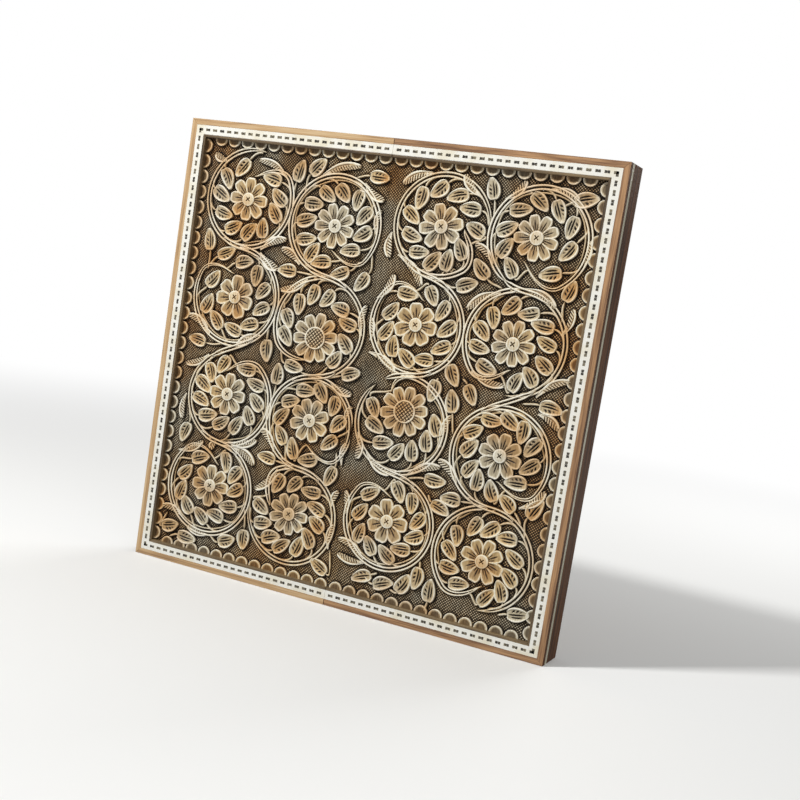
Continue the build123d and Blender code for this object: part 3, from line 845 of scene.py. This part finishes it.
def spray_patches(rows):
    """Acanthus sprays: a bowed blade, widest at 0.6 of its length, ridged along one side and
    nicked by oblique comb cuts along the other."""
    root_u, root_v, tip_u, tip_v, width, comb = np.array(rows, float).T
    x, z = on_board(root_u, root_v)
    tip_x, tip_z = on_board(tip_u, tip_v)
    length = np.hypot(tip_x - x, tip_z - z)[:, None, None]
    angle = np.degrees(np.arctan2(tip_x - x, tip_z - z))
    width, comb = (width * MM)[:, None, None], comb[:, None, None]
    s = np.linspace(0.0, 1.0, 41)[None, :, None]
    t = with_walls(17)[None, None, :]
    profile = 0.22 + 0.78 * np.sin(np.pi / 2 * np.clip(s / 0.6, 0, 1)) ** 1.5
    profile = np.where(s > 0.6, np.sqrt(np.clip(1 - ((s - 0.6) / 0.4) ** 2.4, 0, 1)), profile)
    along = s * length
    across = t * profile * width / 2 - comb * 0.1 * length * np.sin(np.pi * s)
    x, z = placed(x, z, angle, along, across)
    toward = t * comb
    nick = np.clip(1.2 * np.sin(2 * np.pi * (along / (3.1 * MM) - 0.7 * toward)) + 0.2, 0, 1)
    nick = nick * np.clip((toward + 0.25) / 0.2, 0, 1) * np.clip((s - 0.2) / 0.1, 0, 1)
    groove = cut(toward + 0.35, 0.14) * np.clip((0.9 - s) / 0.2, 0, 1)
    cuts = np.maximum(0.85 * nick, groove)
    wall = (np.abs(t) > 0.99) | (s > 0.999)
    # Colour level: the ridged side painted brighter, and the cuts painted nearly black as stain
    # and painted shade.
    return patches(x, z, wall, LEAF_H * (0.74 + 0.26 * s) - 1.5 * MM * cuts,
                   0.92 + 0.08 * (toward < -0.5) - 0.9 * cuts)


# Scallops
# A row of half ovals along the lip, scooped with a gouge and left with a raised curved edge.
# Like the lip, they run along the top, the bottom and the free side.
SCALLOP_PITCH = 16.9 * MM
SCALLOP_W = 15.4 * MM
SCALLOP_REACH = 7.6 * MM


def scallop_patches(px, pz, angle):
    """Half-oval scallops, straight side on the lip, scooped out to a raised curved edge."""
    a = np.linspace(-np.pi / 2, np.pi / 2, 21)[None, :, None]
    r = np.concatenate([[1.0], np.linspace(0.96, 0, 12)])[None, None, :]
    x, z = placed(px, pz, angle, r * SCALLOP_REACH * np.cos(a), r * SCALLOP_W / 2 * np.sin(a))
    # Colour level: the scoop painted darker towards the lip as the lip's shadow, and the curved
    # edge painted bright as rubbing and painted highlight.
    return patches(x, z, r > 0.98, 1.7 * MM + 1.1 * MM * r ** 2,
                   0.45 + 0.5 * np.clip((r - 0.6) / 0.3, 0, 1))


def scallop_rows(side):
    """Places and clock angles of one half's scallops, along the side, the top and the bottom."""
    count = int((2 * TOP - HEIGHT) / SCALLOP_PITCH)
    z = HEIGHT - TOP + (np.arange(count) + 0.5) * (2 * TOP - HEIGHT) / count
    x = side * (EDGE - SCALLOP_PITCH * (np.arange(int(EDGE / SCALLOP_PITCH) + 1) + 1.1))
    x = x[side * x > -0.2 * SCALLOP_PITCH]
    rows = [(np.full(count, side * EDGE), z, np.full(count, -90.0 * side))]
    rows.append((x, np.full(len(x), TOP), np.full(len(x), 180.0)))
    rows.append((x, np.full(len(x), HEIGHT - TOP), np.full(len(x), 0.0)))
    return rows


# Cross-cut ground
# The sunk ground between the carved forms, cut over with two crossing sets of fine grooves, with
# the grooves painted dark as stain and painted shade. It is a little deeper close to the forms,
# and painted darker there, as stain left unrubbed and as painted shade.
LATTICE = 1.6 * MM
LATTICE_H = 0.45 * MM


def crowding(points):
    """A function of place, 0 to 1, for how closely relief stands round it: its points, counted
    on a 1 mm lattice and spread by averaging with the neighbours five times."""
    cell = 1.0 * MM
    counts = np.zeros((int(2 * HALF_WIDTH / cell) + 3, int(HEIGHT / cell) + 3))
    i = ((points[:, 0] + HALF_WIDTH) / cell).astype(int) + 1
    j = (points[:, 1] / cell).astype(int) + 1
    counts[i, j] = 1.0
    for step in range(5):
        near = sum(np.roll(counts, way, axis) for axis in (0, 1) for way in (-1, 1))
        counts = (counts + near) / 5

    def at(x, z):
        column = ((x + HALF_WIDTH) / cell).astype(int) + 1
        row = (z / cell).astype(int) + 1
        return np.clip(1.6 * counts[column, row], 0, 1)
    return at


def cut_ground(side, low_z, high_z, relief):
    """Cross-cut ground: alternate points of a lattice are high and low, so that the low ones
    join up into crossing grooves, painted dark as stain and painted shade. Relief close by
    leaves it a little deeper and painted darker, as stain and painted shade.
    The first and the last column drop straight down as the sides of the sheet."""
    x0, x1 = sorted((side * SEAM_FACE, side * EDGE))
    nx, nz = int((x1 - x0) / LATTICE), int((high_z - low_z) / LATTICE)
    column, j = np.meshgrid(np.arange(nx + 3), np.arange(nz + 1), indexing="ij")
    i = np.clip(column - 1, 0, nx)
    x, z = x0 + (x1 - x0) * i / nx, low_z + (high_z - low_z) * j / nz
    high = (column + j) % 2 == 0
    rim = (column == 0) | (column == nx + 2)
    inside = (i > 0) & (i < nx) & (j > 0) & (j < nz)
    wave = np.sin(x / (9 * MM) + 2 * np.sin(z / (17 * MM))) * np.sin(z / (11 * MM))
    x = x + np.where(inside, 0.35 * MM * np.sin(z / (7 * MM) + wave), 0)
    z = z + np.where(inside, 0.35 * MM * np.sin(x / (8 * MM) - wave), 0)
    shade = relief(x, z)
    h = 0.3 * MM * wave + np.where(high, LATTICE_H, -LATTICE_H) - 0.4 * MM * shade
    h = np.where(rim, -3 * MM, h)
    # Colour level: the low points painted dark, and the ground near relief painted darker, as
    # stain and painted shade.
    wear_and_painted_light = np.where(high, 1.0 + 0.1 * wave, 0.08) * (1 - 0.85 * shade)
    verts = np.stack([x, GROUND - h, z], -1).reshape(-1, 3)
    index = np.arange(column.size).reshape(column.shape)
    a, b, c, d = index[:-1, :-1], index[1:, :-1], index[1:, 1:], index[:-1, 1:]
    even = high[:-1, :-1, None]
    one = np.where(even, np.stack([a, b, d], -1), np.stack([a, b, c], -1))
    two = np.where(even, np.stack([b, c, d], -1), np.stack([a, c, d], -1))
    faces = np.concatenate([one.reshape(-1, 3), two.reshape(-1, 3)])
    return verts, faces, wear_and_painted_light.ravel()


# Boards put together
# The whole carving is stained dark and then rubbed back, so that the high parts are tan and the
# cuts dark. Its colour level also holds painted shade, nearly black in the cuts, the grooves and
# round the forms, and painted highlight on the rims. Behind it stands the solid walnut of the
# board.
LEVEL_STOPS = (0.0, 0.25, 0.5, 0.75, 1.0)
# The darkest stops are stain and painted shade, the lightest rubbed wood and painted highlight.
TAN_RUBBED_AND_SHADED = ("#050302", "#2A1C12", "#8A6C46", "#DCBD88", "#FFF8E0")
GREY_RUBBED_AND_SHADED = ("#050404", "#28221B", "#7E705A", "#CEC2A4", "#FFFAEA")
AMBER = "#E8BC80"
RELIEF_LEVEL = 0.2        # carved places brighter than this count as relief over the ground
CORE_BELOW = 2 * MM      # how far the solid board's front lies below the ground
CORE_LEVEL = 0.3
CARVED_GRAIN = (1.1 * MM, 1.1 * MM, 16 * MM)
CLOUD_SIZE = 70 * MM
AMBER_SIZE = 38 * MM


def carved_walnut(name):
    """Hand-carved walnut, stained and rubbed back: the colour level, wear with painted shade and
    painted highlight in it, runs from the dark cuts to the tan high parts; warm and grey clouds of
    a hand's breadth lie over it, and fine grain."""
    material, tree, shader = new_material(name)
    place = add(tree, "TexCoord").outputs["Object"]
    level_with_painted_light = add(tree, "Attribute", {"attribute_name": "wear_and_painted_light"}).outputs["Fac"]
    grain_at = add(tree, "Mapping", Vector=place, Scale=[1 / size for size in CARVED_GRAIN])
    grain = add(tree, "TexNoise", Vector=grain_at.outputs[0], Scale=1.0, Detail=3.0)
    spread = add(tree, "MapRange", Value=grain.outputs["Fac"], From_Min=0.3, From_Max=0.7,
                 To_Min=-0.09, To_Max=0.09)
    level = add(tree, "Math", {"operation": "ADD"}, Value=level_with_painted_light, Value_001=spread.outputs[0])
    tan = ramp(tree, level.outputs[0], LEVEL_STOPS, TAN_RUBBED_AND_SHADED)
    grey = ramp(tree, level.outputs[0], LEVEL_STOPS, GREY_RUBBED_AND_SHADED)
    clouds = add(tree, "TexNoise", Vector=place, Scale=1 / CLOUD_SIZE, Detail=2.0)
    cloud = add(tree, "MapRange", Value=clouds.outputs["Fac"], From_Min=0.42, From_Max=0.6)
    base = add(tree, "Mix", {"data_type": "RGBA"}, Factor_Float=cloud.outputs[0], A_Color=tan,
               B_Color=grey)
    warm_at = add(tree, "TexNoise", Vector=place, Scale=1 / AMBER_SIZE, Detail=1.0)
    warm = add(tree, "MapRange", Value=warm_at.outputs["Fac"], From_Min=0.46, From_Max=0.66,
               To_Max=0.7)
    amber = add(tree, "Mix", {"data_type": "RGBA", "blend_type": "MULTIPLY"},
                Factor_Float=warm.outputs[0], A_Color=base.outputs[2], B_Color=linear(AMBER))
    bump = add(tree, "Bump", Strength=0.3, Distance=0.2 * MM, Height=grain.outputs["Fac"])
    feed(tree, shader, Base_Color=amber.outputs[2], Roughness=0.5, Specular_IOR_Level=0.25,
         Normal=bump.outputs[0])
    return material


carved = carved_walnut("walnut_carved_stained_rubbed_painted_light")
for half, side in HALVES.items():
    scrolls = SCROLLS[half]
    inside = np.array(LEAVES[half], float)
    free = np.array(FREE_LEAVES[half], float)
    held = np.arange(len(inside) + len(free)) < len(inside)
    u, v, heading = np.concatenate([inside, free[:, :3]]).T
    x, z = settled(scrolls, *on_board(u, v), heading, held)
    leaves = leaf_patches(x, z, heading)
    roots = np.stack(on_board(free[:, 3], free[:, 4]), -1)
    stalks = leaf_stalks(scrolls, x[held], z[held], heading[held])
    stalks += free_stalks(roots, x[~held], z[~held], heading[~held])
    links = [link_path(scrolls[a], scrolls[b], way) for a, b, way in TOUCHING]
    stems = [stem for scroll in scrolls for stem in scroll_stems(scroll)]
    stems.append(curve_stems(links, RING_W, LINK_RISE, 1))
    stems.append(curve_stems(stalks, STALK_W, STALK_RISE, 0))
    kinds = {
        "leaves": [leaves],
        "stems": stems,
        "flowers": [part for scroll in scrolls for part in flower_parts(scroll)],
        "sprays": [spray_patches(SPRAYS[half])],
        "scallops": [scallop_patches(*row) for row in scallop_rows(side)],
    }
    body = half + "_half"
    carving = {kind: joined(side, parts) for kind, parts in kinds.items()}
    for kind, (verts, faces, wear_and_painted_light) in carving.items():
        finish_mesh(half + "_carved_" + kind, verts, faces, carved, body, wear_and_painted_light)
    # How closely relief stands round each place; it paints the ground darker as stain and shade.
    relief = crowding(np.concatenate([verts[wear_and_painted_light > RELIEF_LEVEL][:, [0, 2]]
                                      for verts, faces, wear_and_painted_light in carving.values()]))
    levels = np.linspace(HEIGHT - TOP, TOP, 3)
    for low_z, high_z, name in zip(levels[:-1], levels[1:], ("lower", "upper")):
        verts, faces, wear_and_painted_light = cut_ground(side, low_z, high_z, relief)
        finish_mesh(half + "_" + name + "_cut_ground", verts, faces, carved, body,
                    wear_and_painted_light, smooth=False)
    low, high = [np.array([corner]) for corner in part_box(half + "_carved_board")]
    low[:, 1] = GROUND + CORE_BELOW
    verts, faces = boxes(low, high)
    core = finish_mesh(half + "_carved_core", verts, faces, carved, body,
                       np.full(len(verts), CORE_LEVEL), smooth=False)
    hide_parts(half + "_carved_board")


# Playing fields and rests
# A veneered board in each tray, inlaid with dark and pale points, two lines and a star, and
# walnut strips with half-moons for the first man of each point.
FIELD = ("#4E2A14", "#744522", "#8C5830")
POINT_DARK = ("#120A06", "#22150D", "#2C1C12")
POINT_LIGHT = ("#B4935A", "#D6B981", "#E2C995")
POLISHED = 0.25          # roughness of the polished field
REST_ARRIS = 0.4 * MM
field = sawn_wood("walnut_veneer_polished", 2, FIELD, POLISHED)
dark_point = sawn_wood("ebonised_inlay_polished", 2, POINT_DARK, POLISHED)
light_point = sawn_wood("maple_inlay_polished", 2, POINT_LIGHT, POLISHED)
rest_wood = sawn_wood("walnut_rest_strip", 0, RAIL_SIDE)
for half in HALVES:
    dress(half + "_field_board", field)
    dress(half + "_dark_points", dark_point)
    for node in ("light_points", "field_lines", "field_star"):
        dress(half + "_" + node, light_point)
    dress(half + "_top_rest", rest_wood, REST_ARRIS)
    dress(half + "_bottom_rest", rest_wood, REST_ARRIS)


# Hinges and magnets
# Two pressed brass butt hinges let into the rims, with slotted brass screws, and nickelled
# disc magnets in the free rims.
BRASS = "#C9A14E"
NICKEL = "#B9B9B6"
SCRATCH = 1.5 * MM


def rolled_metal(name, colour, roughness):
    """Rolled and tumbled metal: faint scratches break its gloss."""
    material, tree, shader = new_material(name)
    place = add(tree, "TexCoord").outputs["Object"]
    scratch = add(tree, "TexNoise", Vector=place, Scale=1 / SCRATCH, Detail=4.0)
    dull = add(tree, "MapRange", Value=scratch.outputs["Fac"], To_Min=roughness - 0.1,
               To_Max=roughness + 0.15)
    feed(tree, shader, Base_Color=linear(colour), Roughness=dull.outputs[0], Metallic=1.0)
    return material


brass = rolled_metal("brass_rolled_tumbled", BRASS, 0.3)
nickel = rolled_metal("nickel_plated_magnet", NICKEL, 0.25)
for half in HALVES:
    dress(half + "_hinge_screws", brass)
    dress(half + "_magnets", nickel)
for place in ("upper", "lower"):
    dress(place + "_hinge_left_leaf", brass)
    dress(place + "_hinge_right_leaf", brass)
    dress(place + "_hinge_pin", brass)


# Floor, light and camera
# A pale floor, soft studio lamps and the photograph's view of the carved faces. The camera's
# place, axes and focal length were solved from where the board's corners stand in the picture.
FLOOR_SIZE = 14
WORLD_LIGHT = 0.25


def studio_floor(name):
    """Matt pale floor that turns into the white of the backdrop half a metre to two out."""
    material, tree, shader = new_material(name)
    tree.nodes.remove(shader)
    place = add(tree, "TexCoord").outputs["Object"]
    away = add(tree, "VectorMath", {"operation": "LENGTH"}, Vector=place)
    fade = add(tree, "MapRange", {"interpolation_type": "SMOOTHSTEP"},
               Value=away.outputs["Value"], From_Min=0.5, From_Max=2.2)
    matt = add(tree, "BsdfDiffuse", Color=linear("#F4F4F2"))
    white = add(tree, "Emission", Color=linear("#FFFFFF"))
    mixed = add(tree, "MixShader", Fac=fade.outputs[0], Shader=matt.outputs[0],
                Shader_001=white.outputs[0])
    output = next(n for n in tree.nodes if n.type == "OUTPUT_MATERIAL")
    feed(tree, output, Surface=mixed.outputs[0])
    return material


bpy.ops.mesh.primitive_plane_add(size=FLOOR_SIZE)
floor = bpy.context.object
floor.name = "floor"
floor.data.materials.append(studio_floor("studio_floor"))
floor.visible_diffuse = False

world = bpy.data.worlds.new("studio")
bpy.context.scene.world = world
world.use_nodes = True
tree = world.node_tree
tree.nodes.clear()
rays = add(tree, "LightPath")
strength = add(tree, "MapRange", Value=rays.outputs["Is Camera Ray"], To_Min=WORLD_LIGHT,
               To_Max=1.0)
sky = add(tree, "Background", Color=linear("#FFFFFF"), Strength=strength.outputs[0])
add(tree, "OutputWorld", Surface=sky.outputs[0])


def lamp(name, place, target, size, power):
    """A soft square lamp at a place, turned to a target."""
    light = bpy.data.lights.new(name, "AREA")
    light.size = size
    light.energy = power
    obj = bpy.data.objects.new(name, light)
    bpy.context.scene.collection.objects.link(obj)
    obj.location = place
    obj.rotation_euler = (Vector(target) - Vector(place)).to_track_quat("-Z", "Y").to_euler()


MIDDLE = (0, 0, HEIGHT / 2)
lamp("key", (-1.0, -1.45, 1.95), MIDDLE, 0.25, 50)
lamp("fill", (1.4, -1.6, 0.7), MIDDLE, 1.2, 7)
lamp("back", (0.4, 1.6, 1.2), MIDDLE, 1.0, 14)

CAMERA_AT = (572.5 * MM, LIP_LOW.y - 1198.1 * MM, 354.1 * MM)
RIGHT = (0.88562, 0.43904, 0.15140)
UP = (-0.19204, 0.04940, 0.98014)
BACK = (0.42284, -0.89711, 0.12806)
FOCAL_PX = 1258.1
AXIS_PX = (354.9, 440.4)    # where the camera's axis meets the picture, from its top left
FRAME_PX = 800
camera = bpy.data.cameras.new("camera")
camera.sensor_width = 36
camera.lens = FOCAL_PX / FRAME_PX * camera.sensor_width
camera.shift_x = (FRAME_PX / 2 - AXIS_PX[0]) / FRAME_PX
camera.shift_y = (AXIS_PX[1] - FRAME_PX / 2) / FRAME_PX
view = bpy.data.objects.new("camera", camera)
bpy.context.scene.collection.objects.link(view)
turned = Matrix((RIGHT, UP, BACK)).transposed().to_4x4()
view.matrix_world = Matrix.Translation(CAMERA_AT) @ turned
bpy.context.scene.camera = view
bpy.context.scene.view_settings.view_transform = "Standard"
